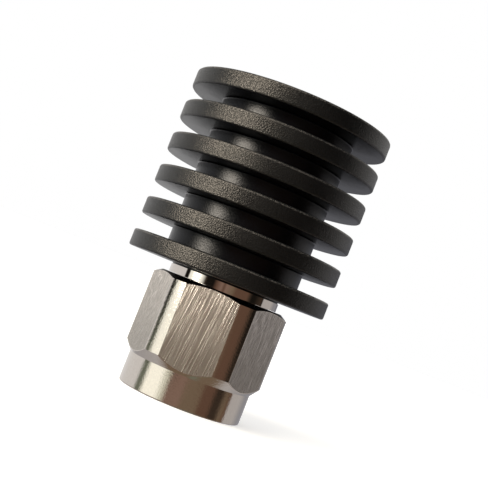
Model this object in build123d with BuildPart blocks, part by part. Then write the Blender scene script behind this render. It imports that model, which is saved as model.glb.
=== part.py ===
from build123d import *

import math
import os

# Coaxial terminator: a 50 ohm end load with a finned heat sink and a screw-on pin connector.
#
# A black turned heat sink of six round fins is screwed onto the rear spigot of a steel connector body.
# A hexagonal coupling nut hangs on the body by a split ring, so that it turns freely and floats a little
# along the axis. Inside, the pin contact grips one end of a film resistor. A tapered ground sleeve
# grips the other end, and a slotted plug holds the stack in the body.
#
# The axis is Z. The origin is the centre of the coupling nut's mouth, with the nut pushed back as far as
# it goes, which is how it stands on its mouth. All sizes are in millimetres.

# Heat sink, one turned piece
fin_dia = 12.7
fin_count = 6
fin_thick = 1.05
fin_edge = 0.12
core_dia = 8.5
sink_length = 11.45
boss_dia = 6.88
boss_length = 0.11
sink_bore_room = 0.2
drill_point_angle = 118.0

# Coupling nut: a hexagonal bar, turned to a collar in front and coned at both ends
nut_length = 7.15
nut_across_flats = 8.0
nut_corner_dia = 8.68
nut_rear_face_dia = 7.76
nut_rear_cone = 0.29
nut_front_cone = 0.57
collar_dia = 7.78
collar_length = 1.87
collar_edge = 0.07
thread_dia = 6.35
thread_play = 0.025
thread_lead_in = 0.25
thread_end_gap = 0.05
thread_relief_depth = 0.2
nut_shoulder_gap = 0.05
nut_bore_play = 0.08
nut_rear_wall = 0.65

# Split ring that holds the nut on the body, and how far the nut floats with it
ring_thick = 0.45
ring_width = 0.5
ring_hold = 0.2
ring_gap = 1.4
ring_play = 0.05
nut_float = 0.3

# Connector body in front of the neck, with the standard mating face
line_outer_dia = 4.13
sleeve_wall = 0.225
sleeve_length = 2.0
sleeve_edge = 0.06
flange_step = 0.73
body_groove_wall = 0.4
web_thick = 0.6
web_bore_gap = 0.55
chamber_wall = 0.15
bead_recess = 0.05

# Connector body behind the nut: the neck, and the spigot inside the heat sink
neck_gap = 0.02
neck_length = 0.5
neck_shoulder = 0.5
chamber_gap = 1.25
chamber_length = 1.6
seat_step = 0.2
spigot_wall = 0.6
spigot_relief_width = 0.4
spigot_relief_depth = 0.25
spigot_edge = 0.25
spigot_play = 0.03

# Gasket on the flange, round the hub that the mating sleeve stands on
gasket_thick = 0.6
gasket_hub_step = 0.16
gasket_step = 0.07
gasket_edge = 0.12

# Centre contact: pin in front, shaft through the bead, socket of spring fingers behind
pin_dia = 0.92
pin_setback = 0.35
pin_tip_length = 0.5
pin_tip_dia = 0.32
shaft_dia = 1.27
shaft_recess = 0.1
head_wall = 0.23
head_length = 2.0
socket_depth = 1.2
finger_count = 4
finger_slot = 0.3

# Film resistor: a ceramic rod with a pressed cup at each end
resistor_length = 5.6
cap_dia = 1.4
cap_length = 1.1
cap_wall = 0.08
rod_edge = 0.05

# Ground sleeve, with a tapered bore in front and spring fingers that end level with the resistor
ground_mouth_wall = 0.6
ground_throat_gap = 0.12
ground_throat_wall = 0.4
ground_finger_length = 0.9
ground_finger_wall = 0.35

# End plug
plug_length = 1.6
plug_recess_play = 0.15
plug_slot_width = 0.6
plug_slot_depth = 0.45
plug_edge = 0.12
plug_depth = 0.2

# Clearance all round between pieces that are pushed into each other
push_play = 0.02

# Levels in front of the neck, counted forwards from the nut's rear face
ring_rear_z = nut_length - nut_rear_wall - ring_play
ring_front_z = ring_rear_z - ring_thick
body_groove_front_z = ring_front_z - nut_float - ring_play
body_groove_rear_z = ring_rear_z + ring_play
flange_front_z = body_groove_front_z - body_groove_wall
gasket_seat_z = flange_front_z - gasket_thick
reference_z = gasket_seat_z - sleeve_length

# Levels behind it, counted backwards
neck_front_z = nut_length + neck_gap
neck_rear_z = neck_front_z + neck_length
sink_z = neck_rear_z + boss_length
chamber_front_z = body_groove_rear_z + chamber_wall
bead_rear_z = chamber_front_z - web_thick
ground_front_z = chamber_front_z + chamber_length
head_rear_z = bead_rear_z + head_length
socket_floor_z = head_rear_z - socket_depth
resistor_rear_z = socket_floor_z + resistor_length
ground_rear_z = resistor_rear_z - ground_finger_length
plug_rear_z = ground_rear_z + plug_length
spigot_end_z = plug_rear_z + plug_depth

# Radii that two or more pieces share, from the inside out
cap_r = cap_dia / 2
cap_seat_r = cap_r + push_play
head_r = cap_seat_r + head_wall
rear_bore_r = head_r + chamber_gap + seat_step
rear_seat_r = rear_bore_r - push_play
spigot_r = rear_bore_r + spigot_wall
shaft_r = shaft_dia / 2
line_outer_r = line_outer_dia / 2
sleeve_r = line_outer_r + sleeve_wall
gasket_hub_r = sleeve_r + gasket_hub_step
body_r = sleeve_r + flange_step
nut_bore_r = body_r + nut_bore_play
ring_outer_r = nut_bore_r + ring_hold

# Heat sink: a low boss that seats on the neck, the core and the fins, with every rim broken by a chamfer
fin_pitch = (sink_length - fin_thick) / (fin_count - 1)
fin_planes = [Plane.XY.offset(sink_z + n * fin_pitch) for n in range(fin_count)]
sink_bore_r = spigot_r + spigot_play
sink_bore_end_z = spigot_end_z + sink_bore_room
drill_point_z = sink_bore_end_z + sink_bore_r / math.tan(math.radians(drill_point_angle / 2))
with BuildPart() as heat_sink:
    with BuildSketch(Plane.XY.offset(neck_rear_z)):
        Circle(boss_dia / 2)
    extrude(amount=boss_length)
    with BuildSketch(Plane.XY.offset(sink_z)):
        Circle(core_dia / 2)
    extrude(amount=sink_length)
    with BuildSketch(*fin_planes):
        Circle(fin_dia / 2)
    extrude(amount=fin_thick)
    fin_rims = heat_sink.edges().filter_by(GeomType.CIRCLE).group_by(SortBy.RADIUS)[-1]
    chamfer(fin_rims, fin_edge)
    with BuildSketch(Plane.XZ):
        with BuildLine():
            Polyline(
                (0, neck_rear_z),
                (sink_bore_r, neck_rear_z),
                (sink_bore_r, sink_bore_end_z),
                (0, drill_point_z),
                close=True,
            )
        make_face()
    revolve(axis=Axis.Z, mode=Mode.SUBTRACT)
heat_sink.part.label = "heat_sink"

# Coupling nut: the bar is cut down to what a lathe leaves of it, then bored
collar_r = collar_dia / 2
corner_r = nut_corner_dia / 2
thread_bore_r = thread_dia / 2 + thread_play
thread_end_z = gasket_seat_z - thread_end_gap
thread_relief_r = nut_bore_r + thread_relief_depth
nut_shoulder_z = flange_front_z + nut_shoulder_gap
ring_seat_r = ring_outer_r + ring_play
with BuildPart() as coupling_nut:
    with BuildSketch():
        RegularPolygon(nut_across_flats / 2, side_count=6, major_radius=False)
    extrude(amount=nut_length)
    with BuildSketch(Plane.XZ):
        with BuildLine():
            Polyline(
                (0, 0),
                (collar_r - collar_edge, 0),
                (collar_r, collar_edge),
                (collar_r, collar_length),
                (corner_r, collar_length + nut_front_cone),
                (corner_r, nut_length - nut_rear_cone),
                (nut_rear_face_dia / 2, nut_length),
                (0, nut_length),
                close=True,
            )
        make_face()
    revolve(axis=Axis.Z, mode=Mode.INTERSECT)
    with BuildSketch(Plane.XZ):
        with BuildLine():
            Polyline(
                (0, 0),
                (thread_bore_r + thread_lead_in, 0),
                (thread_bore_r, thread_lead_in),
                (thread_bore_r, thread_end_z),
                (thread_relief_r, thread_end_z),
                (thread_relief_r, nut_shoulder_z),
                (nut_bore_r, nut_shoulder_z),
                (nut_bore_r, nut_length),
                (0, nut_length),
                close=True,
            )
        make_face()
    revolve(axis=Axis.Z, mode=Mode.SUBTRACT)
    with BuildSketch(Plane.XY.offset(ring_front_z - ring_play)):
        Circle(ring_seat_r)
    extrude(amount=ring_thick + 2 * ring_play, mode=Mode.SUBTRACT)
coupling_nut.part.label = "coupling_nut"

# Split ring: sprung into both grooves, and carried along the axis by the nut
ring_inner_r = ring_outer_r - ring_width
with BuildPart() as retaining_ring:
    with BuildSketch(Plane.XY.offset(ring_front_z)):
        Circle(ring_outer_r)
        Circle(ring_inner_r, mode=Mode.SUBTRACT)
        with Locations((ring_outer_r, 0)):
            Rectangle(ring_outer_r, ring_gap, mode=Mode.SUBTRACT)
    extrude(amount=ring_thick)
retaining_ring.part.label = "retaining_ring"

# Connector body: mating sleeve, hub and flange in front, then the neck, and the spigot for the heat
# sink. The ring's groove is deep enough to take the whole ring while the nut is pushed on.
body_groove_r = nut_bore_r - ring_width - ring_play
neck_r = spigot_r + neck_shoulder
spigot_relief_r = spigot_r - spigot_relief_depth
web_bore_r = head_r + web_bore_gap
chamber_r = head_r + chamber_gap
with BuildPart() as connector_body:
    with BuildSketch(Plane.XZ):
        with BuildLine():
            Polyline(
                (0, reference_z),
                (sleeve_r - sleeve_edge, reference_z),
                (sleeve_r, reference_z + sleeve_edge),
                (sleeve_r, gasket_seat_z),
                (gasket_hub_r, gasket_seat_z),
                (gasket_hub_r, flange_front_z),
                (body_r, flange_front_z),
                (body_r, body_groove_front_z),
                (body_groove_r, body_groove_front_z),
                (body_groove_r, body_groove_rear_z),
                (body_r, body_groove_rear_z),
                (body_r, neck_front_z),
                (neck_r, neck_front_z),
                (neck_r, neck_rear_z),
                (spigot_relief_r, neck_rear_z),
                (spigot_relief_r, neck_rear_z + spigot_relief_width),
                (spigot_r, neck_rear_z + spigot_relief_width),
                (spigot_r, spigot_end_z - spigot_edge),
                (spigot_r - spigot_edge, spigot_end_z),
                (0, spigot_end_z),
                close=True,
            )
        make_face()
    revolve(axis=Axis.Z)
    with BuildSketch(Plane.XZ):
        with BuildLine():
            Polyline(
                (0, reference_z),
                (line_outer_r, reference_z),
                (line_outer_r, bead_rear_z),
                (web_bore_r, bead_rear_z),
                (web_bore_r, chamber_front_z),
                (chamber_r, chamber_front_z),
                (chamber_r, ground_front_z),
                (rear_bore_r, ground_front_z),
                (rear_bore_r, spigot_end_z),
                (0, spigot_end_z),
                close=True,
            )
        make_face()
    revolve(axis=Axis.Z, mode=Mode.SUBTRACT)
connector_body.part.label = "connector_body"

# Gasket round the hub, flat on the flange
gasket_inner_r = gasket_hub_r + push_play
gasket_outer_r = body_r - gasket_step
with BuildPart() as gasket:
    with BuildSketch(Plane.XY.offset(gasket_seat_z)):
        Circle(gasket_outer_r)
        Circle(gasket_inner_r, mode=Mode.SUBTRACT)
    extrude(amount=gasket_thick)
    gasket_front_edges = gasket.edges().group_by(Axis.Z)[0]
    chamfer(gasket_front_edges, min(gasket_edge, (gasket_outer_r - gasket_inner_r) / 3))
gasket.part.label = "gasket"

# Insulating bead that centres the contact in the body
bead_front_z = reference_z + bead_recess
with BuildPart() as insulator_bead:
    with BuildSketch(Plane.XY.offset(bead_front_z)):
        Circle(line_outer_r - push_play)
        Circle(shaft_r + push_play, mode=Mode.SUBTRACT)
    extrude(amount=bead_rear_z - bead_front_z)
insulator_bead.part.label = "insulator_bead"

# Centre contact: the head bears on the bead, and its bore grips the resistor's front cup
pin_r = pin_dia / 2
shaft_front_z = reference_z + shaft_recess
with BuildPart() as centre_contact:
    with BuildSketch(Plane.XZ):
        with BuildLine():
            Polyline(
                (0, pin_setback),
                (pin_tip_dia / 2, pin_setback),
                (pin_r, pin_setback + pin_tip_length),
                (pin_r, shaft_front_z),
                (shaft_r, shaft_front_z),
                (shaft_r, bead_rear_z),
                (head_r, bead_rear_z),
                (head_r, head_rear_z),
                (cap_seat_r, head_rear_z),
                (cap_seat_r, socket_floor_z),
                (0, socket_floor_z),
                close=True,
            )
        make_face()
    revolve(axis=Axis.Z)
    with BuildSketch(Plane.XY.offset(socket_floor_z)):
        with PolarLocations(0, finger_count // 2, angular_range=180):
            Rectangle(3 * head_r, finger_slot)
    extrude(amount=socket_depth, mode=Mode.SUBTRACT)
centre_contact.part.label = "centre_contact"

# Resistor rod, with room for the floor of a cup at each end
rod_r = cap_r - cap_wall - push_play
with BuildPart() as resistor_rod:
    with BuildSketch(Plane.XY.offset(socket_floor_z + cap_wall)):
        Circle(rod_r)
    extrude(amount=resistor_length - 2 * cap_wall)
    chamfer(resistor_rod.edges().filter_by(GeomType.CIRCLE), rod_edge)
resistor_rod.part.label = "resistor_rod"

# Cups on the rod: the front one sits in the contact's head, the rear one in the ground sleeve
with BuildPart() as resistor_cap_front:
    with BuildSketch(Plane.XY.offset(socket_floor_z)):
        Circle(cap_r)
    extrude(amount=cap_length)
    with BuildSketch(Plane.XY.offset(socket_floor_z + cap_wall)):
        Circle(cap_r - cap_wall)
    extrude(amount=cap_length - cap_wall, mode=Mode.SUBTRACT)
resistor_cap_front.part.label = "resistor_cap_front"

rod_middle = Plane.XY.offset(socket_floor_z + resistor_length / 2)
with BuildPart() as resistor_cap_rear:
    mirror(resistor_cap_front.part, about=rod_middle)
resistor_cap_rear.part.label = "resistor_cap_rear"

# Ground sleeve: its bore tapers along the rod, then spring fingers grip the rear cup
finger_r = cap_seat_r + ground_finger_wall
throat_z = ground_rear_z - ground_throat_wall
with BuildPart() as ground_sleeve:
    with BuildSketch(Plane.XZ):
        with BuildLine():
            Polyline(
                (rear_seat_r - ground_mouth_wall, ground_front_z),
                (rear_seat_r, ground_front_z),
                (rear_seat_r, ground_rear_z),
                (finger_r, ground_rear_z),
                (finger_r, resistor_rear_z),
                (cap_seat_r, resistor_rear_z),
                (cap_seat_r, throat_z),
                (cap_seat_r + ground_throat_gap, throat_z),
                close=True,
            )
        make_face()
    revolve(axis=Axis.Z)
    with BuildSketch(Plane.XY.offset(ground_rear_z)):
        with PolarLocations(0, finger_count // 2, angular_range=180):
            Rectangle(3 * finger_r, finger_slot)
    extrude(amount=ground_finger_length, mode=Mode.SUBTRACT)
ground_sleeve.part.label = "ground_sleeve"

# End plug: hollow in front to clear the fingers, with a screwdriver slot behind
plug_recess_r = finger_r + plug_recess_play
plug_recess_z = resistor_rear_z + plug_recess_play
with BuildPart() as end_plug:
    with BuildSketch(Plane.XY.offset(ground_rear_z)):
        Circle(rear_seat_r)
    extrude(amount=plug_length)
    chamfer(end_plug.edges().group_by(Axis.Z)[-1], plug_edge)
    with BuildSketch(Plane.XY.offset(ground_rear_z)):
        Circle(plug_recess_r)
    extrude(amount=plug_recess_z - ground_rear_z, mode=Mode.SUBTRACT)
    with BuildSketch(Plane.XY.offset(plug_rear_z - plug_slot_depth)):
        Rectangle(3 * rear_seat_r, plug_slot_width)
    extrude(amount=plug_slot_depth, mode=Mode.SUBTRACT)
end_plug.part.label = "end_plug"

os.makedirs("parts", exist_ok=True)
export_step(heat_sink.part, "parts/heat_sink.step")
export_step(coupling_nut.part, "parts/coupling_nut.step")
export_step(retaining_ring.part, "parts/retaining_ring.step")
export_step(connector_body.part, "parts/connector_body.step")
export_step(gasket.part, "parts/gasket.step")
export_step(insulator_bead.part, "parts/insulator_bead.step")
export_step(centre_contact.part, "parts/centre_contact.step")
export_step(resistor_rod.part, "parts/resistor_rod.step")
export_step(resistor_cap_front.part, "parts/resistor_cap_front.step")
export_step(resistor_cap_rear.part, "parts/resistor_cap_rear.step")
export_step(ground_sleeve.part, "parts/ground_sleeve.step")
export_step(end_plug.part, "parts/end_plug.step")
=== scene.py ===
# %% [markdown]
# # A coaxial terminator, dressed for its portrait
# The object is a small end load for a microwave cable: a black finned heat sink on a steel connector
# with a turning hexagonal nut. The solids are already right in size. This lesson gives them fine
# round surfaces, a cut thread and finishes that look like metal.

# %% Load the frame
import math

import bmesh
import bpy
from mathutils import Matrix, Vector


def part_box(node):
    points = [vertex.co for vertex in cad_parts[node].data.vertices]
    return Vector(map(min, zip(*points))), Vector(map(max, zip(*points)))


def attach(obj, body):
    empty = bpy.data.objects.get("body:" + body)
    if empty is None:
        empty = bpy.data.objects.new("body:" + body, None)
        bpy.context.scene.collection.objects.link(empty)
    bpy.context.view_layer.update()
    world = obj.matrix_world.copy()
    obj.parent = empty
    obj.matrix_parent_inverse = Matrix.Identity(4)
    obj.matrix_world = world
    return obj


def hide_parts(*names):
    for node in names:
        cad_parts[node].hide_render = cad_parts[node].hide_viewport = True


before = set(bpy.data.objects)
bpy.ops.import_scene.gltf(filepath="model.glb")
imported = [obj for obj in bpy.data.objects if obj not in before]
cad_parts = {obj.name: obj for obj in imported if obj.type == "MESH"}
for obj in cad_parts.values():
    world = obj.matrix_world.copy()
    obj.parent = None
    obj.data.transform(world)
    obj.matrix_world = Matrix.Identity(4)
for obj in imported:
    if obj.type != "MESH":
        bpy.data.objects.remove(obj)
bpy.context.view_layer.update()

# %% [markdown]
# ## Sizes
# Blender works in metres here, and a turned part is easier to read in millimetres, so every size is
# written in millimetres times MM. Heights count from the mouth of the nut, radii from the axis.

# %% Sizes of the heat sink
MM = 0.001
sink_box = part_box("heat_sink")
boss_radius = 3.44 * MM
boss_height = 0.11 * MM
boss_bottom = sink_box[0][2]
sink_bottom = boss_bottom + boss_height
sink_top = sink_box[1][2]
fin_radius = sink_box[1][0]
fin_count = 6
fin_thick = 1.05 * MM
fin_pitch = (sink_top - sink_bottom - fin_thick) / (fin_count - 1)
core_radius = 4.25 * MM
rim_edge = 0.12 * MM
root_radius = 0.1 * MM
sink_bore_radius = 3.03 * MM
sink_bore_end = 13.55 * MM
drill_point = 15.37 * MM
print("fin radius %.2f mm, pitch %.3f mm" % (fin_radius / MM, fin_pitch / MM))

# %% Sizes of the coupling nut
nut_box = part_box("coupling_nut")
nut_length = nut_box[1][2]
flat_distance = nut_box[1][1]
corner_radius = nut_box[1][0]
collar_radius = 3.89 * MM
collar_length = 1.87 * MM
front_cone = 0.57 * MM
rear_cone = 0.29 * MM
rear_face_radius = 3.88 * MM
thread_radius = 3.2 * MM
thread_crest_radius = 2.82 * MM
thread_pitch = 25.4 * MM / 36
thread_lead_in = 0.25 * MM
gasket_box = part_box("gasket")
gasket_play = 0.05 * MM
thread_end = gasket_box[0][2] - gasket_play
relief_radius = 3.3 * MM
nut_shoulder = gasket_box[1][2] + gasket_play
nut_bore_radius = 3.1 * MM
ring_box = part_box("retaining_ring")
ring_play = 0.05 * MM
ring_seat_radius = ring_box[1][1] + ring_play
print("nut %.2f mm long, %.2f mm across flats" % (nut_length / MM, 2 * flat_distance / MM))

# %% Sizes of the connector body and what it holds
body_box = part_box("connector_body")
reference_plane = body_box[0][2]
body_rear = body_box[1][2]
neck_radius = body_box[1][0]
neck_play = 0.02 * MM
neck_front = nut_length + neck_play
sleeve_radius = 2.29 * MM
line_radius = 2.065 * MM
gasket_hub_radius = 2.45 * MM
flange_radius = 3.02 * MM
groove_front = 5.65 * MM
groove_rear = 6.5 * MM
groove_radius = 2.55 * MM
web_bore_radius = 1.5 * MM
chamber_radius = 2.2 * MM
chamber_front = 6.65 * MM
chamber_rear = 8.25 * MM
rear_bore_radius = 2.4 * MM
spigot_radius = 3.0 * MM
spigot_relief_radius = 2.75 * MM
spigot_relief_width = 0.4 * MM
spigot_edge = 0.25 * MM
bead_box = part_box("insulator_bead")
contact_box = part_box("centre_contact")

# %% [markdown]
# ## The camera
# The picture was taken with a long lens from a little below the middle of the part, and the part leans
# over to the right in it. Here the part stands upright and the camera is rolled instead, so the lean is
# the camera's. A flat of the nut faces -Y, and the camera stands a few degrees round to the right of it.

# %% Camera
camera_distance = 62.42 * MM
camera_height = 7.23 * MM
camera_turn = math.radians(5.64)
camera_heading = math.radians(-5.47)
camera_pitch = math.radians(2.876)
camera_roll = math.radians(21.6)

camera_data = bpy.data.cameras.new("camera")
camera_data.sensor_width = 36
camera_data.lens = 75.1
camera_data.clip_start = 0.001
camera_data.clip_end = 10
camera = bpy.data.objects.new("camera", camera_data)
camera.location = (
    camera_distance * math.sin(camera_turn),
    -camera_distance * math.cos(camera_turn),
    camera_height,
)
aim = Matrix.Rotation(-camera_heading, 3, "Z") @ Matrix.Rotation(math.pi / 2 + camera_pitch, 3, "X")
camera.rotation_euler = (aim @ Matrix.Rotation(camera_roll, 3, "Z")).to_euler()
bpy.context.scene.collection.objects.link(camera)
bpy.context.scene.camera = camera
bpy.context.scene.view_settings.view_transform = "Standard"
print("camera at", [round(c / MM, 2) for c in camera.location], "mm")

# %% [markdown]
# ## Small tools for shader nodes
# A node tree reads best when each node is one short line. `add` makes a node, sets its plain values and
# joins its inputs. An input may be a number, a colour or the output of another node.

# %% Node helpers
def add(tree, kind, inputs=None, **settings):
    """Makes one node, sets its properties, and fills or joins its inputs by name or number."""
    node = tree.nodes.new(kind)
    for name, value in settings.items():
        setattr(node, name, value)
    for key, value in (inputs or {}).items():
        if isinstance(value, bpy.types.NodeSocket):
            tree.links.new(value, node.inputs[key])
        else:
            node.inputs[key].default_value = value
    return node


def maths(tree, operation, first, second=0.0, third=0.0):
    """One Math node. Returns its output."""
    node = add(tree, "ShaderNodeMath", {0: first, 1: second, 2: third}, operation=operation)
    return node.outputs[0]


def band(tree, value, low, high):
    """Rises smoothly from 0 at low to 1 at high, or falls where low is the larger."""
    settings = {"Value": value, "From Min": low, "From Max": high}
    node = add(tree, "ShaderNodeMapRange", settings, interpolation_type="SMOOTHSTEP")
    return node.outputs["Result"]


def blend(tree, factor, first, second):
    """Mixes two colours. Returns the colour output."""
    node = add(tree, "ShaderNodeMix", data_type="RGBA")
    for key, value in (("Factor_Float", factor), ("A_Color", first), ("B_Color", second)):
        socket = next(s for s in node.inputs if s.identifier == key)
        if isinstance(value, bpy.types.NodeSocket):
            tree.links.new(value, socket)
        else:
            socket.default_value = value
    return next(s for s in node.outputs if s.identifier == "Result_Color")


def spread(tree, factor, low, high):
    """Takes a 0 to 1 factor to the range from low to high."""
    return maths(tree, "MULTIPLY_ADD", factor, high - low, low)


# %% [markdown]
# ## The studio
# Bright metal has no colour of its own to speak of: it shows the room. The part was photographed in a
# white box, and its collar and neck show what stood round it. Going round from the left: white paper
# beside the part, a thin dark edge, a large bright window, a dark gap, the warm brown of the open side
# where the camera stands, a dark edge, and grey paper that darkens towards the back. The world is
# painted with those bands, so that every mirror-like surface picks them up, at any angle. What the
# camera sees directly is white.
#
# The bands differ with height. Seen level they are crisp, a little lower the window is softer, and
# steeply down there is no window at all. Above, the ceiling is bright behind the part, dim over the
# window, and dark to the right of the camera. Four colour ramps hold the bands, and the height of the
# direction chooses between the ramps.

# %% Colours of the room
paper = (0.86, 0.85, 0.85, 1)
grey_paper = (0.56, 0.54, 0.54, 1)
far_paper = (0.34, 0.34, 0.37, 1)
back_shade = (0.18, 0.18, 0.21, 1)
ceiling = (1.1, 1.08, 1.04, 1)
grey_ceiling = (0.5, 0.49, 0.47, 1)
dim_ceiling = (0.12, 0.12, 0.12, 1)
window = (1.45, 1.45, 1.31, 1)
soft_window = (1.3, 1.32, 1.22, 1)
window_edge = (0.85, 0.86, 0.72, 1)
green_grey = (0.21, 0.23, 0.18, 1)
warm_brown = (0.29, 0.19, 0.15, 1)
olive = (0.22, 0.16, 0.11, 1)
deep_brown = (0.15, 0.085, 0.058, 1)
soft_black = (0.055, 0.038, 0.027, 1)
black = (0.012, 0.01, 0.008, 1)

level_bands = [
    (-180, far_paper), (-175, paper), (-88, paper), (-87, black), (-78, black), (-76, soft_window),
    (-47, soft_window), (-39, soft_black), (-35, black), (-21, black), (-14, deep_brown), (-4, warm_brown),
    (1, deep_brown), (5, warm_brown), (18, olive), (26, deep_brown), (51, deep_brown), (57, soft_black),
    (62, black), (70, black), (86, soft_black), (91, black), (92, grey_paper), (120, grey_paper),
    (134, far_paper), (145, far_paper), (160, back_shade), (179, back_shade), (180, far_paper),
]
low_bands = [
    (-180, far_paper), (-175, paper), (-94, paper), (-88, green_grey), (-80, green_grey), (-71, window),
    (-46, window), (-34, window_edge), (-25, warm_brown), (-3, warm_brown), (6, olive), (30, olive),
    (38, deep_brown), (53, deep_brown), (62, soft_black), (72, soft_black), (82, olive), (93, deep_brown),
    (96, grey_paper), (120, grey_paper), (142, far_paper), (180, far_paper),
]
steep_bands = [
    (-180, far_paper), (-105, grey_paper), (-85, olive), (-10, olive), (30, green_grey), (60, olive),
    (95, olive), (112, grey_paper), (150, far_paper), (172, back_shade), (180, far_paper),
]
high_bands = [
    (-180, ceiling), (-135, ceiling), (-98, dim_ceiling), (-40, dim_ceiling), (-8, grey_ceiling),
    (30, black), (95, black), (120, ceiling), (180, ceiling),
]

# %% World
world = bpy.data.worlds.new("white_box")
bpy.context.scene.world = world
world.use_nodes = True
sky = world.node_tree
sky.nodes.clear()

direction = add(sky, "ShaderNodeSeparateXYZ", {0: add(sky, "ShaderNodeTexCoord").outputs["Generated"]})
height = direction.outputs["Z"]
compass = maths(sky, "ARCTAN2", direction.outputs["Y"], direction.outputs["X"])
from_camera = maths(sky, "ADD", compass, math.pi / 2 - camera_turn)
wrapped = maths(sky, "WRAP", from_camera, math.pi, -math.pi)
around = maths(sky, "MULTIPLY_ADD", wrapped, 0.5 / math.pi, 0.5)

# %% [markdown]
# A direction's angle round the horizon picks a place on a colour ramp, and its elevation blends from one
# ramp to the next: low to level just below the horizon, then down to steep and up to high.

# %% Walls and ceiling
def room(bands):
    """A colour ramp round the horizon. Each band is an angle from the camera, to the right, and a colour."""
    ramp = add(sky, "ShaderNodeValToRGB", {"Fac": around})
    stops = ramp.color_ramp.elements
    while len(stops) < len(bands):
        stops.new(0.5)
    for stop, (angle, _) in zip(stops, bands):
        stop.position = (angle + 180) / 360
    for stop, (_, colour) in zip(stops, bands):
        stop.color = colour
    return ramp.outputs["Color"]


def up_from(low, high):
    """Rises from 0 to 1 between two elevations in degrees, or falls where low is the larger."""
    return band(sky, height, math.sin(math.radians(low)), math.sin(math.radians(high)))


walls = blend(sky, up_from(-6, -0.6), room(low_bands), room(level_bands))
walls = blend(sky, up_from(-12, -30), walls, room(steep_bands))
walls = blend(sky, up_from(3, 20), walls, room(high_bands))
print("world bands:", len(level_bands), len(low_bands), len(steep_bands), len(high_bands))

# %% [markdown]
# The daylight in the window is far brighter than white paper. It starts a few degrees above level, with
# a faint sill below it, ends at about fifteen degrees, and its right edge leans. That small bright patch
# is what the black fins pick up.

# %% Bright patch of the window
daylight = (29.0, 26.5, 23.0, 1)
patch_left = math.radians(-72)
patch_right = math.radians(-42)
soft_edge = math.radians(8)
edge_lean = -1.05
lean_start = 0.1
sill_strength = 0.1
leaned = maths(sky, "ADD", wrapped, maths(sky, "MULTIPLY_ADD", height, edge_lean, lean_start))
from_left = band(sky, wrapped, patch_left, patch_left + soft_edge)
to_right = band(sky, leaned, patch_right, patch_right - soft_edge)
across_window = maths(sky, "MULTIPLY", from_left, to_right)
up_window = maths(sky, "MULTIPLY", up_from(0.8, 4.2), up_from(18, 13))
sill = maths(sky, "MULTIPLY", up_from(0.0, 0.5), sill_strength)
glare = maths(sky, "MULTIPLY", across_window, maths(sky, "MAXIMUM", up_window, sill))
lit_walls = blend(sky, glare, walls, daylight)
print("bright patch: %.0f degrees wide" % math.degrees(patch_right - patch_left))

# %% White for the camera
is_camera = add(sky, "ShaderNodeLightPath").outputs["Is Camera Ray"]
seen = blend(sky, is_camera, lit_walls, (1, 1, 1, 1))
background = add(sky, "ShaderNodeBackground", {"Color": seen, "Strength": 1.0})
add(sky, "ShaderNodeOutputWorld", {"Surface": background.outputs[0]})
print("world nodes:", len(sky.nodes))

# %% [markdown]
# ## The floor
# A wide pale floor carries the part's soft shadow. A little white is added to it for the camera alone,
# so that it meets the white background without a line. Mirror-like surfaces look past it to the painted
# world, because in the picture the collar shows the same bands as the neck does.

# %% Floor
def link(name, mesh):
    """Wraps a mesh in an object of the same name and puts it in the scene."""
    obj = bpy.data.objects.new(name, mesh)
    bpy.context.scene.collection.objects.link(obj)
    return obj


floor_half_width = 1.5
floor_mesh = bpy.data.meshes.new("floor")
bm = bmesh.new()
bmesh.ops.create_grid(bm, x_segments=1, y_segments=1, size=floor_half_width)
bm.to_mesh(floor_mesh)
bm.free()
floor = link("floor", floor_mesh)
floor.visible_glossy = False
print("floor:", 2 * floor_half_width, "m wide")

# %% Floor finish
floor_material = bpy.data.materials.new("floor_white")
floor_material.use_nodes = True
tree = floor_material.node_tree
tree.nodes.clear()
seen_directly = add(tree, "ShaderNodeLightPath").outputs["Is Camera Ray"]
matt = add(tree, "ShaderNodeBsdfDiffuse", {"Color": (0.82, 0.82, 0.82, 1)})
lift_strength = maths(tree, "MULTIPLY", seen_directly, 0.5)
lift = add(tree, "ShaderNodeEmission", {"Color": (1, 1, 1, 1), "Strength": lift_strength})
both = add(tree, "ShaderNodeAddShader", {0: matt.outputs[0], 1: lift.outputs[0]})
add(tree, "ShaderNodeOutputMaterial", {"Surface": both.outputs[0]})
floor_mesh.materials.append(floor_material)
print("floor finish:", floor_material.name)

# %% [markdown]
# ## Surface effects shared by several finishes
# Each effect is a node group with named inputs and outputs. A group reads Object coordinates, which
# stay with the piece, and gives out a plain value for a material to use as it needs.

# %% Group helper
def new_group(name, inputs, outputs):
    """A shader node group with float inputs {name: default} and float outputs [name]."""
    group = bpy.data.node_groups.new(name, "ShaderNodeTree")
    for label, default in inputs.items():
        socket = group.interface.new_socket(label, in_out="INPUT", socket_type="NodeSocketFloat")
        socket.default_value = default
    for label in outputs:
        group.interface.new_socket(label, in_out="OUTPUT", socket_type="NodeSocketFloat")
    print("group", name, "gives", outputs)
    return group, group.nodes.new("NodeGroupInput").outputs, group.nodes.new("NodeGroupOutput").inputs


def use(tree, group, **inputs):
    """Places a group in a material. Returns its outputs."""
    node = tree.nodes.new("ShaderNodeGroup")
    node.node_tree = group
    for name, value in inputs.items():
        if isinstance(value, bpy.types.NodeSocket):
            tree.links.new(value, node.inputs[name])
        else:
            node.inputs[name].default_value = value
    return node.outputs
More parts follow.
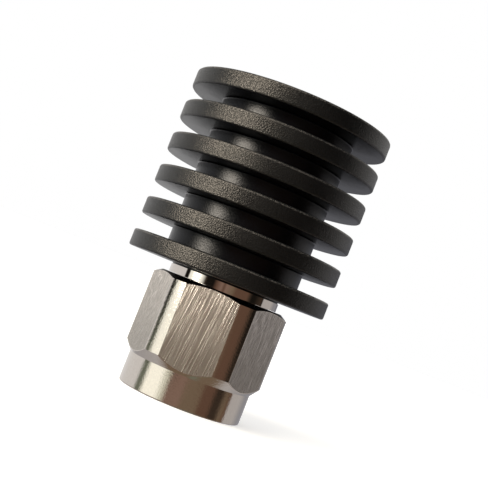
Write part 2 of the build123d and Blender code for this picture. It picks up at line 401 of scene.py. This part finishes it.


# %% [markdown]
# The lathe's marks and the lighter top edges of the rims, which are partly wear and partly painted
# highlight, depend on how far a point is from the axis, and how high it is. This small group works out
# both, and the others build on it.

# %% Distance from the axis
axis_group, given, out = new_group("axis_distance", {}, ["Radius", "Height"])
place = add(axis_group, "ShaderNodeSeparateXYZ", {0: add(axis_group, "ShaderNodeTexCoord").outputs["Object"]})
across = maths(axis_group, "MULTIPLY", place.outputs["X"], place.outputs["X"])
across = maths(axis_group, "MULTIPLY_ADD", place.outputs["Y"], place.outputs["Y"], across)
axis_group.links.new(maths(axis_group, "SQRT", across), out["Radius"])
axis_group.links.new(place.outputs["Z"], out["Height"])

# %% [markdown]
# Bead blasting leaves a fine even grain: round pits side by side, and a slow unevenness that lets some
# patches catch more light than others. The pits are cells, deepest at their middle.

# %% Blasted grain
grain_group, given, out = new_group(
    "blasted_grain", {"Grain Size": 0.1 * MM, "Patch Size": 1.5 * MM}, ["Pits", "Patches"],
)
spot = add(grain_group, "ShaderNodeTexCoord").outputs["Object"]
pit_scale = maths(grain_group, "DIVIDE", 1.0, given["Grain Size"])
patch_scale = maths(grain_group, "DIVIDE", 1.0, given["Patch Size"])
pits = add(grain_group, "ShaderNodeTexVoronoi", {"Vector": spot, "Scale": pit_scale})
patches = add(grain_group, "ShaderNodeTexNoise", {"Vector": spot, "Scale": patch_scale, "Detail": 3.0})
grain_group.links.new(pits.outputs["Distance"], out["Pits"])
grain_group.links.new(patches.outputs[0], out["Patches"])

# %% [markdown]
# A belt or file drawn along the axis leaves long scratches. Noise that is squeezed across the axis and
# drawn out along it gives them: coarse ones for the deep strokes, fine ones between them. The strokes
# lean a little and fan out over the width of a flat, as they do when the hand swings.

# %% Brushed strokes
strokes_group, given, out = new_group(
    "brushed_strokes",
    {"Spacing": 0.12 * MM, "Length": 4.0 * MM, "Lean": 0.13, "Fan": 40.0},
    ["Coarse", "Fine"],
)
spot = add(strokes_group, "ShaderNodeTexCoord").outputs["Object"]
place = add(strokes_group, "ShaderNodeSeparateXYZ", {0: spot})
lean = maths(strokes_group, "MULTIPLY", given["Lean"], -1.0)
slope = maths(strokes_group, "MULTIPLY_ADD", place.outputs["X"], given["Fan"], lean)
leaned = maths(strokes_group, "MULTIPLY_ADD", place.outputs["Z"], slope, place.outputs["X"])
per_spacing = maths(strokes_group, "DIVIDE", 1.0, given["Spacing"])
per_length = maths(strokes_group, "DIVIDE", 1.0, given["Length"])
squeezed = add(strokes_group, "ShaderNodeCombineXYZ", {
    0: maths(strokes_group, "MULTIPLY", leaned, per_spacing),
    1: maths(strokes_group, "MULTIPLY", place.outputs["Y"], per_spacing),
    2: maths(strokes_group, "MULTIPLY", place.outputs["Z"], per_length),
}).outputs[0]
coarse = add(strokes_group, "ShaderNodeTexNoise", {"Vector": squeezed, "Scale": 1.0, "Detail": 1.0})
fine = add(strokes_group, "ShaderNodeTexNoise", {"Vector": squeezed, "Scale": 2.2, "Detail": 2.0})
strokes_group.links.new(coarse.outputs[0], out["Coarse"])
strokes_group.links.new(fine.outputs[0], out["Fine"])

# %% [markdown]
# A lathe tool leaves rings. They depend only on the distance from the axis and the height, so the noise
# is fed with those two numbers and is the same all the way round.

# %% Turned rings
rings_group, given, out = new_group("turned_rings", {"Feed": 0.06 * MM}, ["Rings", "Blotches"])
axis = use(rings_group, axis_group)
per_feed = maths(rings_group, "DIVIDE", 1.0, given["Feed"])
ring_place = add(rings_group, "ShaderNodeCombineXYZ", {
    0: maths(rings_group, "MULTIPLY", axis["Radius"], per_feed),
    1: 0.0,
    2: maths(rings_group, "MULTIPLY", axis["Height"], per_feed),
}).outputs[0]
rings = add(rings_group, "ShaderNodeTexNoise", {"Vector": ring_place, "Scale": 1.0, "Detail": 2.0})
spot = add(rings_group, "ShaderNodeTexCoord").outputs["Object"]
blotches = add(rings_group, "ShaderNodeTexNoise", {"Vector": spot, "Scale": 9000.0, "Detail": 2.0})
rings_group.links.new(rings.outputs[0], out["Rings"])
rings_group.links.new(blotches.outputs[0], out["Blotches"])
print("groups:", len(bpy.data.node_groups))

# %% [markdown]
# ## Finishes
# `finish` starts a material with one Principled shader. Numbers that hold for the whole surface are set
# on the shader itself, and only what changes over the surface is linked in.

# %% Start of a material
def finish(name, **values):
    """A material with a Principled shader. Returns the material, its node tree and the shader."""
    material = bpy.data.materials.new(name)
    material.use_nodes = True
    tree = material.node_tree
    tree.nodes.clear()
    shader = add(tree, "ShaderNodeBsdfPrincipled")
    for label, value in values.items():
        shader.inputs[label.replace("_", " ")].default_value = value
    add(tree, "ShaderNodeOutputMaterial", {"Surface": shader.outputs[0]})
    print("finish:", name)
    return material, tree, shader


def bump(tree, shader, height, distance, strength=1.0):
    """Feeds a height into the shader's normal."""
    node = add(tree, "ShaderNodeBump", {"Height": height, "Distance": distance, "Strength": strength})
    tree.links.new(node.outputs[0], shader.inputs["Normal"])


# %% [markdown]
# The heat sink is turned, its rims and upper faces are blasted, and all of it is dyed black in the
# anodising bath. So it has three finishes: grainy rims, with a thin lighter line along the top edge of
# each that is partly wear and partly a painted highlight of the light from above, smooth grooves with
# fine rings from the grooving tool, and matt upper faces. The dye is almost black, and what shows is its
# gloss.

# %% Blasted rims
anodised_rim, tree, shader = finish("anodised_rim", IOR=1.48, Specular_Tint=(1.0, 0.94, 0.86, 1))
grain = use(tree, grain_group, **{"Grain Size": 0.08 * MM, "Patch Size": 1.6 * MM})
dye = blend(tree, grain["Patches"], (0.001, 0.0022, 0.0032, 1), (0.0028, 0.004, 0.0052, 1))
height = use(tree, axis_group)["Height"]
from_bottom = maths(tree, "SUBTRACT", height, sink_bottom)
up_the_rim = maths(tree, "FLOORED_MODULO", from_bottom, fin_pitch)
below_edge = maths(tree, "SUBTRACT", fin_thick - 0.8 * rim_edge, up_the_rim)
off_edge = maths(tree, "ABSOLUTE", below_edge)
on_edge = band(tree, off_edge, 0.6 * rim_edge, 0.1 * rim_edge)
# Painted highlight: a lighter line along the top edge of each rim, partly wear and partly the light from
# above catching the edge.
wear_and_highlight = maths(tree, "MULTIPLY", on_edge, band(tree, grain["Pits"], 0.42, 0.62))
dye = blend(tree, maths(tree, "MULTIPLY", wear_and_highlight, 0.6), dye, (0.1, 0.095, 0.09, 1))
tree.links.new(dye, shader.inputs["Base Color"])
tree.links.new(spread(tree, grain["Patches"], 0.32, 0.4), shader.inputs["Roughness"])
bump(tree, shader, grain["Pits"], 0.017 * MM)

# %% Turned grooves
anodised_groove, tree, shader = finish("anodised_groove", IOR=1.31)
grain = use(tree, grain_group, **{"Grain Size": 0.12 * MM, "Patch Size": 1.2 * MM})
rings = use(tree, rings_group, Feed=0.07 * MM)
dye = blend(tree, grain["Patches"], (0.0008, 0.0012, 0.0028, 1), (0.002, 0.0026, 0.0045, 1))
tree.links.new(dye, shader.inputs["Base Color"])
tree.links.new(spread(tree, grain["Patches"], 0.26, 0.32), shader.inputs["Roughness"])
surface = maths(tree, "MULTIPLY_ADD", rings["Rings"], 0.25, maths(tree, "MULTIPLY", grain["Pits"], 0.5))
bump(tree, shader, surface, 0.008 * MM)

# %% Matt upper faces
anodised_matt, tree, shader = finish("anodised_matt", IOR=1.4)
grain = use(tree, grain_group, **{"Grain Size": 0.09 * MM, "Patch Size": 2.0 * MM})
dye = blend(tree, grain["Patches"], (0.006, 0.006, 0.0065, 1), (0.01, 0.01, 0.0105, 1))
tree.links.new(dye, shader.inputs["Base Color"])
tree.links.new(spread(tree, grain["Patches"], 0.8, 1.0), shader.inputs["Roughness"])
bump(tree, shader, grain["Pits"], 0.012 * MM)

# %% [markdown]
# The nut is one bar with two finishes. The lathe made the collar, the cones and the narrow strips at
# the corners, which stay bright. The six flats were milled and then brushed along the axis. Their shine
# is stretched across the strokes, which is what Anisotropic and the tangent round the axis do. Towards
# the collar they are less deeply stroked, and their colour carries painted shade that darkens it there.

# %% Turned steel of the nut
nut_turned, tree, shader = finish("nut_turned", Metallic=1.0)
rings = use(tree, rings_group, Feed=0.05 * MM)
tone = blend(tree, rings["Blotches"], (0.60, 0.55, 0.50, 1), (0.68, 0.63, 0.57, 1))
tree.links.new(tone, shader.inputs["Base Color"])
tree.links.new(spread(tree, rings["Rings"], 0.05, 0.1), shader.inputs["Roughness"])
surface = maths(tree, "MULTIPLY_ADD", rings["Rings"], 0.2, rings["Blotches"])
bump(tree, shader, surface, 0.0045 * MM)

# %% Brushed flats of the nut
nut_brushed, tree, shader = finish("nut_brushed", Metallic=1.0, Anisotropic=0.8)
strokes = use(tree, strokes_group, Spacing=0.05 * MM, Length=4.0 * MM, Lean=0.1, Fan=12.0)
flat_foot = 2.5 * MM
flat_head = 6.8 * MM
height = use(tree, axis_group)["Height"]
upper = band(tree, height, flat_foot, flat_head)
streaks = band(tree, strokes["Coarse"], 0.34, 0.66)
# Painted shade: the flats' colour and streaks grow darker towards the collar, where less light reaches them.
streaks_and_painted_shade = maths(tree, "MULTIPLY", streaks, spread(tree, upper, 0.3, 1.15))
tone = blend(tree, streaks_and_painted_shade, (0.34, 0.315, 0.28, 1), (0.62, 0.575, 0.53, 1))
tree.links.new(tone, shader.inputs["Base Color"])
tree.links.new(spread(tree, strokes["Coarse"], 0.31, 0.25), shader.inputs["Roughness"])
tangent = add(tree, "ShaderNodeTangent", direction_type="RADIAL", axis="Z")
tree.links.new(tangent.outputs[0], shader.inputs["Tangent"])
depth = maths(tree, "MULTIPLY_ADD", strokes["Coarse"], 0.85, maths(tree, "MULTIPLY", strokes["Fine"], 0.15))
depth = maths(tree, "MULTIPLY", depth, spread(tree, upper, 1.0, 1.1))
bump(tree, shader, depth, 0.0245 * MM)

# %% [markdown]
# The connector body is turned from the same steel and left a little brighter than the nut.

# %% Turned steel of the body
body_turned, tree, shader = finish("body_turned", Metallic=1.0)
rings = use(tree, rings_group, Feed=0.04 * MM)
tone = blend(tree, rings["Blotches"], (0.61, 0.56, 0.51, 1), (0.67, 0.62, 0.57, 1))
tree.links.new(tone, shader.inputs["Base Color"])
tree.links.new(spread(tree, rings["Rings"], 0.025, 0.05), shader.inputs["Roughness"])
bump(tree, shader, rings["Rings"], 0.0008 * MM)

# %% [markdown]
# Inside the nut stand a gold plated pin, a waxy white bead and a moulded silicone gasket. The pin's
# gold is bright with faint turning rings. The bead lets a little light into itself.

# %% Gold plate
gold, tree, shader = finish("gold_plate", Metallic=1.0)
rings = use(tree, rings_group, Feed=0.03 * MM)
tone = blend(tree, rings["Blotches"], (0.86, 0.60, 0.22, 1), (0.93, 0.70, 0.32, 1))
tree.links.new(tone, shader.inputs["Base Color"])
tree.links.new(spread(tree, rings["Rings"], 0.14, 0.24), shader.inputs["Roughness"])
bump(tree, shader, rings["Rings"], 0.001 * MM)

# %% White bead
white_bead, tree, shader = finish("bead_white", IOR=1.35, Subsurface_Weight=0.25, Subsurface_Scale=0.3 * MM)
rings = use(tree, rings_group, Feed=0.07 * MM)
tone = blend(tree, rings["Blotches"], (0.80, 0.80, 0.78, 1), (0.88, 0.88, 0.86, 1))
tree.links.new(tone, shader.inputs["Base Color"])
tree.links.new(spread(tree, rings["Blotches"], 0.42, 0.58), shader.inputs["Roughness"])
bump(tree, shader, rings["Rings"], 0.003 * MM)

# %% Silicone gasket
silicone, tree, shader = finish("silicone_red", IOR=1.42)
grain = use(tree, grain_group, **{"Grain Size": 0.05 * MM, "Patch Size": 0.6 * MM})
tone = blend(tree, grain["Patches"], (0.42, 0.10, 0.06, 1), (0.52, 0.15, 0.09, 1))
tree.links.new(tone, shader.inputs["Base Color"])
tree.links.new(spread(tree, grain["Pits"], 0.45, 0.62), shader.inputs["Roughness"])
bump(tree, shader, grain["Pits"], 0.004 * MM)

# %% Metals and ceramic of the hidden pieces
def turned_metal(name, dark, light, feed=0.05 * MM):
    """A turned metal with faint rings."""
    material, tree, shader = finish(name, Metallic=1.0)
    rings = use(tree, rings_group, Feed=feed)
    tree.links.new(blend(tree, rings["Blotches"], dark, light), shader.inputs["Base Color"])
    tree.links.new(spread(tree, rings["Rings"], 0.2, 0.34), shader.inputs["Roughness"])
    bump(tree, shader, rings["Rings"], 0.002 * MM)
    return material


bronze = turned_metal("spring_bronze", (0.55, 0.36, 0.20, 1), (0.66, 0.44, 0.26, 1))
brass = turned_metal("plain_brass", (0.66, 0.48, 0.22, 1), (0.76, 0.58, 0.30, 1))
tinned = turned_metal("tinned_brass", (0.66, 0.65, 0.62, 1), (0.76, 0.75, 0.72, 1))

film, tree, shader = finish("film_on_ceramic", IOR=1.6)
grain = use(tree, grain_group, **{"Grain Size": 0.03 * MM, "Patch Size": 0.4 * MM})
tone = blend(tree, grain["Patches"], (0.10, 0.12, 0.11, 1), (0.16, 0.18, 0.16, 1))
tree.links.new(tone, shader.inputs["Base Color"])
tree.links.new(spread(tree, grain["Pits"], 0.3, 0.5), shader.inputs["Roughness"])
print("materials:", len(bpy.data.materials))

# %% [markdown]
# ## Turning on a lathe
# Nearly every piece is turned, and Blender's spin operator is a lathe: an outline drawn on one side of
# the axis is carried round it. An outline is a list of corners (radius, height), and a third number
# rounds that corner first, as a chamfering tool does. Ends on the axis close up when doubles merge.

# %% Lathe
merge_distance = 0.0005 * MM


def lathe(outline, steps=192, closed=True):
    """A bmesh turned about the Z axis from an outline of (radius, height) or (radius, height, rounding)."""
    bm = bmesh.new()
    corners = [bm.verts.new((point[0], 0, point[1])) for point in outline]
    for first, second in zip(corners, corners[1:]):
        bm.edges.new((first, second))
    if closed:
        bm.edges.new((corners[-1], corners[0]))
    for corner, point in zip(corners, outline):
        if len(point) == 3:
            bmesh.ops.bevel(
                bm, geom=[corner], offset=point[2], offset_type="OFFSET", segments=3, profile=0.5,
                affect="VERTICES", material=-1,
            )
    bmesh.ops.spin(
        bm, geom=bm.verts[:] + bm.edges[:], cent=(0, 0, 0), axis=(0, 0, 1), angle=math.tau, steps=steps,
        use_merge=True,
    )
    bmesh.ops.remove_doubles(bm, verts=bm.verts[:], dist=merge_distance)
    bmesh.ops.recalc_face_normals(bm, faces=bm.faces[:])
    return bm


# %% [markdown]
# Smooth shading goes wrong where a wide flat face meets a thin rounded edge: the flat looks swollen. So
# each corner gets its own normal, the mean of the faces round it, and large faces count for more.

# %% Even normals
def even_normals(mesh, limit=math.radians(32)):
    """Gives each corner the mean direction, by area, of the faces round it that bend less than the limit."""
    mesh.set_sharp_from_angle(angle=limit)
    faces_at = [[] for _ in mesh.vertices]
    for face in mesh.polygons:
        for vertex in face.vertices:
            faces_at[vertex].append(face)
    normals = []
    for face in mesh.polygons:
        for vertex in face.vertices:
            near = [other for other in faces_at[vertex] if face.normal.angle(other.normal, 0) < limit]
            normals.append(sum((other.normal * other.area for other in near), Vector()).normalized())
    mesh.normals_split_custom_set(normals)


# %% [markdown]
# Every new piece is finished in the same way. It gets its materials and normals, rides on one of the
# bodies, carries a material slot, and stands for the solid that it replaces.

# %% Finish a piece
def finish_piece(name, bm, materials, body, node=None):
    """Turns a bmesh into a smooth shaded piece that rides on a body and stands for a node."""
    mesh = bpy.data.meshes.new(name)
    bm.to_mesh(mesh)
    bm.free()
    for material in materials:
        mesh.materials.append(material)
    even_normals(mesh)
    piece = link(name, mesh)
    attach(piece, body)
    if node:
        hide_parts(node)
    print(name, "faces:", len(mesh.polygons))


# %% [markdown]
# ## The heat sink
# It is one turned piece: a core with six fins, a blind bore from below with the cone that the drill
# left, a broken edge on every rim, and the small radius that a grooving tool leaves at each root.
# The outline goes up the outside, fin by fin, in a loop.

# %% Heat sink
outline = [
    (0, drill_point),
    (sink_bore_radius, sink_bore_end),
    (sink_bore_radius, boss_bottom),
    (boss_radius, boss_bottom),
    (boss_radius, sink_bottom),
]
for n in range(fin_count):
    low = sink_bottom + n * fin_pitch
    high = low + fin_thick
    if n > 0:
        outline.append((core_radius, low, root_radius))
    outline.append((fin_radius, low, rim_edge))
    outline.append((fin_radius, high, rim_edge))
    if n < fin_count - 1:
        outline.append((core_radius, high, root_radius))
outline.append((0, sink_top))
sink = lathe(outline, steps=256, closed=False)
sink_finishes = [anodised_groove, anodised_rim, anodised_matt]
facing_up = 0.9
for face in sink.faces:
    if face.calc_center_median().xy.length > fin_radius - rim_edge:
        face.material_index = sink_finishes.index(anodised_rim)
    elif face.normal.z > facing_up:
        face.material_index = sink_finishes.index(anodised_matt)
finish_piece("finned_heat_sink", sink, sink_finishes, "terminator", "heat_sink")

# %% [markdown]
# ## The coupling nut
# It is made as in the workshop. First the lathe turns the collar, both cones and the bore. Then six
# plane cuts mill the flats. A cut leaves an open edge, and filling it gives the flat, which meets the
# cones in the arched edges that every turned hexagon has. Last, the edges of the flats are softened.

# %% Turn the nut
nut = lathe([
    (thread_radius + thread_lead_in, 0),
    (collar_radius, 0, 0.08 * MM),
    (collar_radius, collar_length),
    (corner_radius, collar_length + front_cone),
    (corner_radius, nut_length - rear_cone),
    (rear_face_radius, nut_length, 0.03 * MM),
    (nut_bore_radius, nut_length, 0.05 * MM),
    (nut_bore_radius, ring_box[1][2] + ring_play),
    (ring_seat_radius, ring_box[1][2] + ring_play),
    (ring_seat_radius, ring_box[0][2] - ring_play),
    (nut_bore_radius, ring_box[0][2] - ring_play),
    (nut_bore_radius, nut_shoulder),
    (relief_radius, nut_shoulder),
    (relief_radius, thread_end),
    (thread_radius, thread_end),
    (thread_radius, thread_lead_in),
])
print("turned nut faces:", len(nut.faces))

# %% Mill the flats
flat_count = 6
for n in range(flat_count):
    turn = n * math.tau / flat_count
    facing = Vector((math.sin(turn), math.cos(turn), 0))
    bmesh.ops.bisect_plane(
        nut, geom=nut.verts[:] + nut.edges[:] + nut.faces[:], dist=0.0001 * MM,
        plane_co=facing * flat_distance, plane_no=facing, clear_outer=True,
    )
bmesh.ops.remove_doubles(nut, verts=nut.verts[:], dist=0.01 * MM)
open_edges = [edge for edge in nut.edges if edge.is_boundary]
flats = bmesh.ops.holes_fill(nut, edges=open_edges, sides=0)["faces"]
print("flats:", len(flats))

# %% Soften the edges of the flats
flat_rims = list({edge for flat in flats for edge in flat.edges})
bmesh.ops.bevel(
    nut, geom=flat_rims, offset=0.03 * MM, offset_type="OFFSET", segments=2, profile=0.5,
    affect="EDGES", clamp_overlap=True, material=-1,
)
bmesh.ops.recalc_face_normals(nut, faces=nut.faces[:])
nut_finishes = [nut_turned, nut_brushed]
least_flat_area = 4 * MM * MM
for face in nut.faces:
    if face.calc_area() > least_flat_area and len(face.edges) > 20:
        face.material_index = nut_finishes.index(nut_brushed)
finish_piece("hexagonal_nut", nut, nut_finishes, "nut", "coupling_nut")

# %% [markdown]
# The thread is 36 turns to the inch. Spin carries an outline forward along the axis as it turns when
# it is given a step in `dvec`, which makes a helix. The outline is one ridge with a flat crest, and its
# foot goes a little way into the bore's wall, so that no gap shows.

# %% Cut the thread
thread = bmesh.new()
thread_start = thread_lead_in + 0.5 * thread_pitch
turns = (thread_end - thread_start - 0.5 * thread_pitch) / thread_pitch
steps_per_turn = 96
steps = round(turns * steps_per_turn)
foot = 0.42 * thread_pitch
crest = 0.08 * thread_pitch
root = thread_radius + 0.03 * MM
ridge = [
    thread.verts.new((root, 0, thread_start - foot)),
    thread.verts.new((thread_crest_radius, 0, thread_start - crest)),
    thread.verts.new((thread_crest_radius, 0, thread_start + crest)),
    thread.verts.new((root, 0, thread_start + foot)),
]
first_end = thread.faces.new(ridge)
bmesh.ops.spin(
    thread, geom=first_end.verts[:] + first_end.edges[:] + [first_end], cent=(0, 0, 0), axis=(0, 0, 1),
    dvec=(0, 0, thread_pitch / steps_per_turn), angle=math.tau * steps / steps_per_turn, steps=steps,
)
bmesh.ops.recalc_face_normals(thread, faces=thread.faces[:])
finish_piece("nut_thread", thread, [nut_turned], "nut")
print("thread: %.1f turns" % (steps / steps_per_turn))

# %% [markdown]
# ## The connector body
# Only its neck shows from the side, as the bright ring between the nut and the fins. From below, the
# mating sleeve stands inside the nut. The whole outline is turned, inside and out, so that nothing is
# missing where the light finds a way in.

# %% Connector body
gasket_seat = gasket_box[0][2]
flange_front = gasket_box[1][2]
finish_piece("turned_body", lathe([
    (line_radius, reference_plane, 0.02 * MM),
    (sleeve_radius, reference_plane, 0.06 * MM),
    (sleeve_radius, gasket_seat),
    (gasket_hub_radius, gasket_seat),
    (gasket_hub_radius, flange_front),
    (flange_radius, flange_front, 0.03 * MM),
    (flange_radius, groove_front),
    (groove_radius, groove_front),
    (groove_radius, groove_rear),
    (flange_radius, groove_rear),
    (flange_radius, neck_front),
    (neck_radius, neck_front),
    (neck_radius, boss_bottom),
    (spigot_relief_radius, boss_bottom),
    (spigot_relief_radius, boss_bottom + spigot_relief_width),
    (spigot_radius, boss_bottom + spigot_relief_width),
    (spigot_radius, body_rear - spigot_edge),
    (spigot_radius - spigot_edge, body_rear),
    (rear_bore_radius, body_rear),
    (rear_bore_radius, chamber_rear),
    (chamber_radius, chamber_rear),
    (chamber_radius, chamber_front),
    (web_bore_radius, chamber_front),
    (web_bore_radius, bead_box[1][2]),
    (line_radius, bead_box[1][2]),
]), [body_turned], "terminator", "connector_body")

# %% [markdown]
# ## What stands in the mouth
# The gasket is a moulded ring with rounded front edges. The bead fills the body's bore behind the
# reference plane. The contact is a pin with a tapered and rounded tip on a thicker shaft, and its head
# behind the bead is slotted into four spring fingers. A cross of two bars cuts those slots.

# %% Gasket and bead
gasket_outer = gasket_box[1][0]
gasket_inner = gasket_hub_radius + 0.02 * MM
finish_piece("gasket_ring", lathe([
    (gasket_inner, flange_front),
    (gasket_outer, flange_front),
    (gasket_outer, gasket_seat, 0.12 * MM),
    (gasket_inner, gasket_seat, 0.12 * MM),
]), [silicone], "terminator", "gasket")

shaft_radius = 0.635 * MM
bead_hole_radius = shaft_radius + 0.02 * MM
bead_radius = bead_box[1][0]
bead_front = bead_box[0][2]
bead_rear = bead_box[1][2]
finish_piece("white_bead", lathe([
    (bead_hole_radius, bead_front, 0.02 * MM),
    (bead_radius, bead_front, 0.03 * MM),
    (bead_radius, bead_rear),
    (bead_hole_radius, bead_rear),
]), [white_bead], "terminator", "insulator_bead")

# %% Turn the centre contact
pin_radius = 0.46 * MM
pin_tip = contact_box[0][2]
pin_tip_radius = 0.16 * MM
pin_taper = 0.5 * MM
pin_foot = reference_plane + 0.1 * MM
head_radius = contact_box[1][0]
head_rear = contact_box[1][2]
socket_radius = 0.72 * MM
socket_depth = 1.2 * MM
socket_floor = head_rear - socket_depth
contact = lathe([
    (0, pin_tip),
    (pin_tip_radius, pin_tip, 0.08 * MM),
    (pin_radius, pin_tip + pin_taper, 0.1 * MM),
    (pin_radius, pin_foot),
    (shaft_radius, pin_foot, 0.03 * MM),
    (shaft_radius, bead_rear),
    (head_radius, bead_rear),
    (head_radius, head_rear),
    (socket_radius, head_rear),
    (socket_radius, socket_floor),
    (0, socket_floor),
], steps=96, closed=False)
print("contact: %.2f mm long" % ((head_rear - pin_tip) / MM))

# %% Slot its head into four fingers
slot_width = 0.3 * MM
bar_length = 3 * head_radius
cutter_bm = bmesh.new()
for wide, narrow in ((bar_length, slot_width), (slot_width, bar_length)):
    bar = bmesh.ops.create_cube(cutter_bm, size=1.0)["verts"]
    bmesh.ops.scale(cutter_bm, vec=(wide, narrow, 2 * socket_depth), verts=bar)
    bmesh.ops.translate(cutter_bm, vec=(0, 0, head_rear), verts=bar)
cutter_mesh = bpy.data.meshes.new("slot_cutter")
cutter_bm.to_mesh(cutter_mesh)
cutter_bm.free()
cutter = link("slot_cutter", cutter_mesh)
blank_mesh = bpy.data.meshes.new("contact_blank")
contact.to_mesh(blank_mesh)
contact.free()
blank = link("contact_blank", blank_mesh)
cut = blank.modifiers.new("slots", "BOOLEAN")
cut.operation = "DIFFERENCE"
cut.object = cutter
cut.use_self = True
slotted = bmesh.new()
slotted.from_object(blank, bpy.context.evaluated_depsgraph_get())
bpy.data.objects.remove(blank)
bpy.data.objects.remove(cutter)
finish_piece("gold_contact", slotted, [gold], "terminator", "centre_contact")

# %% [markdown]
# ## The hidden pieces
# The split ring, the resistor, the ground sleeve and the end plug keep their own solids, and get a
# finish each.

# %% Finishes for the solids that stay
for node, material in {
    "retaining_ring": bronze,
    "resistor_rod": film,
    "resistor_cap_front": tinned,
    "resistor_cap_rear": tinned,
    "ground_sleeve": brass,
    "end_plug": body_turned,
}.items():
    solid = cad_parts[node]
    solid.data.materials.clear()
    solid.data.materials.append(material)
    print(node, "finished as", material.name)
